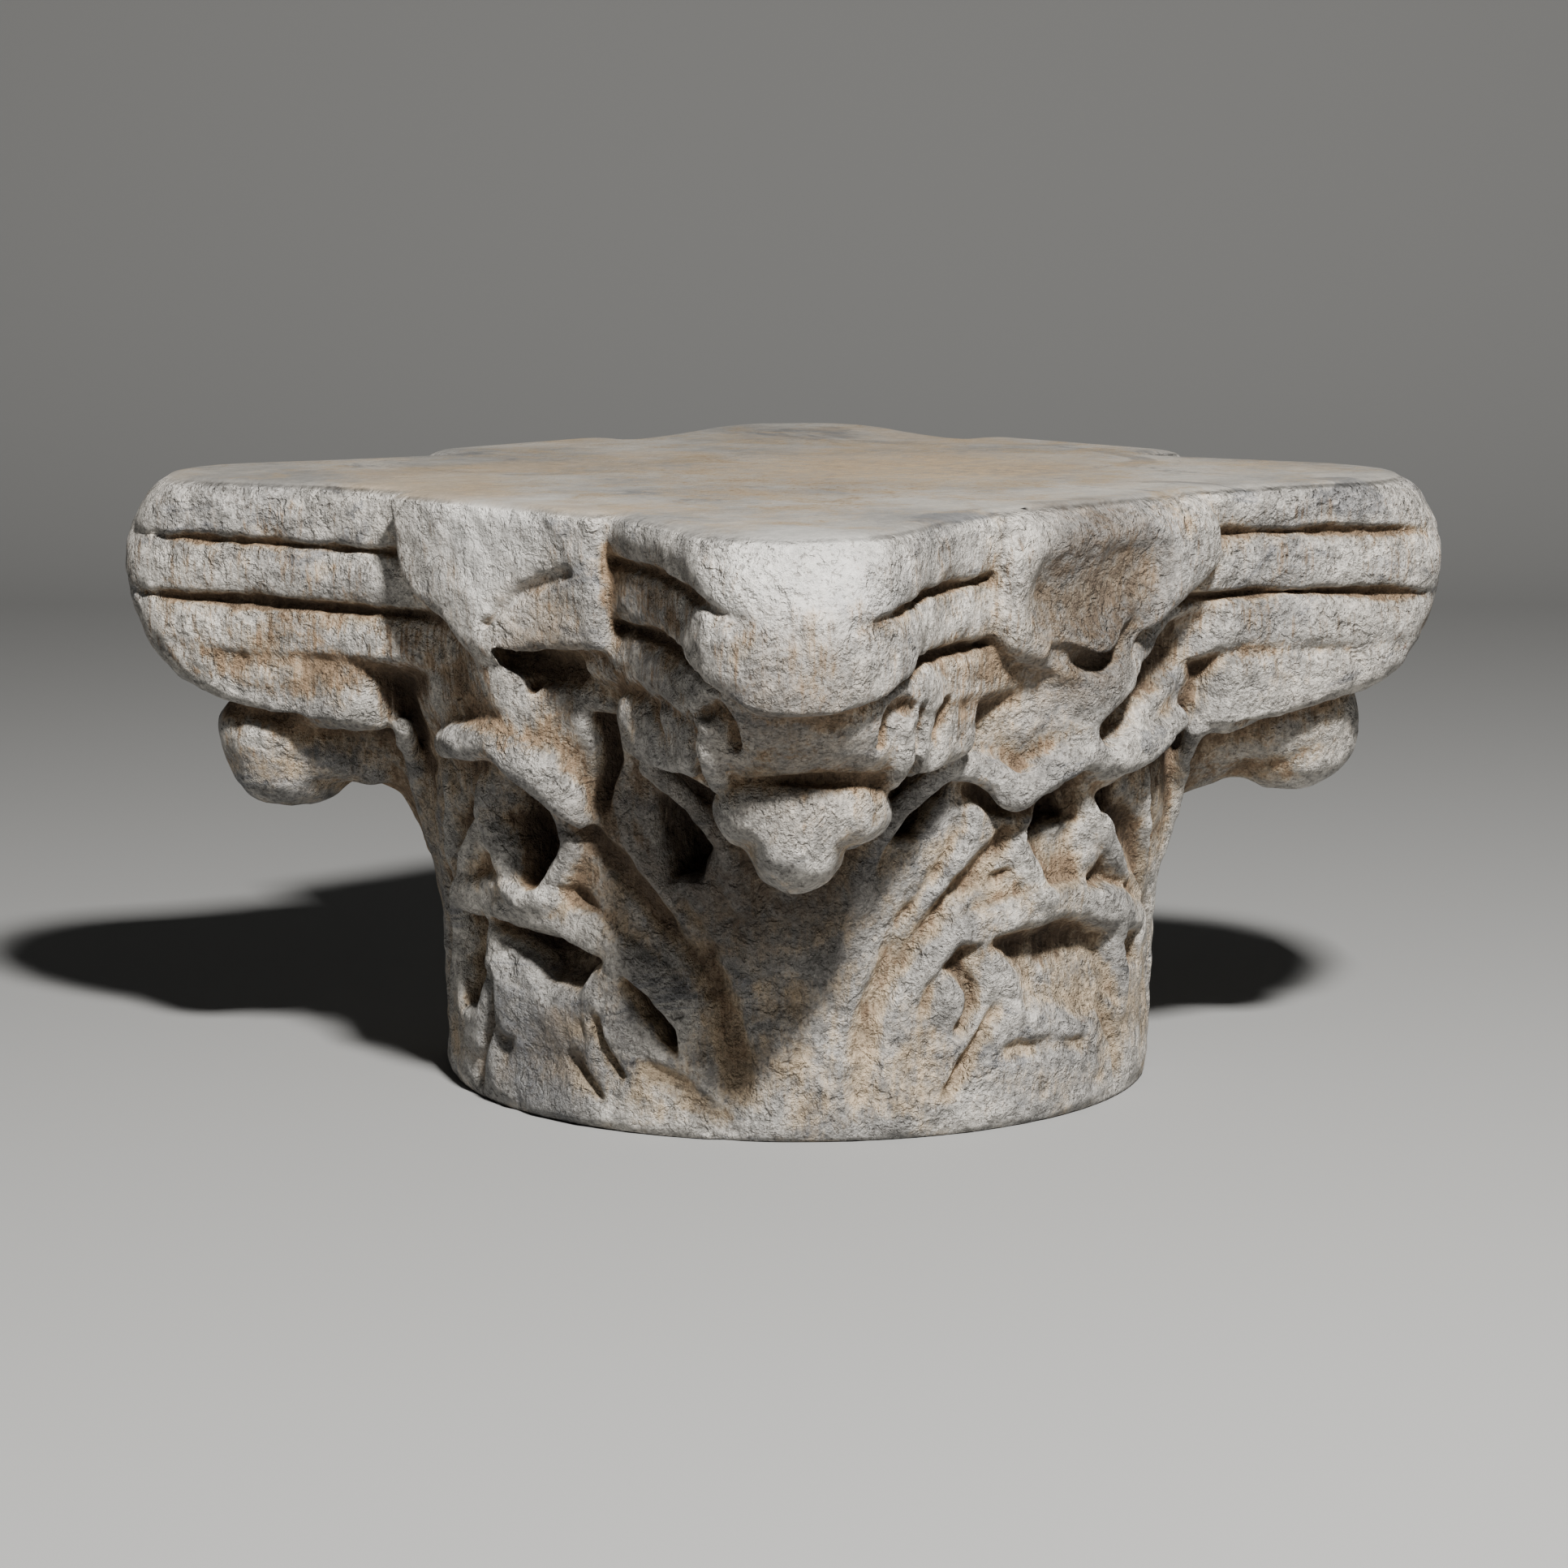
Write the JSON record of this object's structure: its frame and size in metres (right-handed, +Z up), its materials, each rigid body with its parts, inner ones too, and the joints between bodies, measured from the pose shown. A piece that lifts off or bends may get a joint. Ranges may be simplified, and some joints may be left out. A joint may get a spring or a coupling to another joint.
{
  "type": "marble capital",
  "caption": "Carved marble column capital with an acanthus bell, corner volutes and a concave-sided abacus with blunt horns.",
  "frame": {"origin": "centre of the flat underside, on the axis of the bell", "axes": "+Z up the axis, X and Y square to the flat sides of the abacus, horns on the diagonals"},
  "size_m": [0.461, 0.4613, 0.277],
  "materials": {
    "marble": "worn white-grey marble with a warm brown patina in the hollows"
  },
  "bodies": {
    "root": {"marble_capital": "marble"}
  },
  "joints": []
}
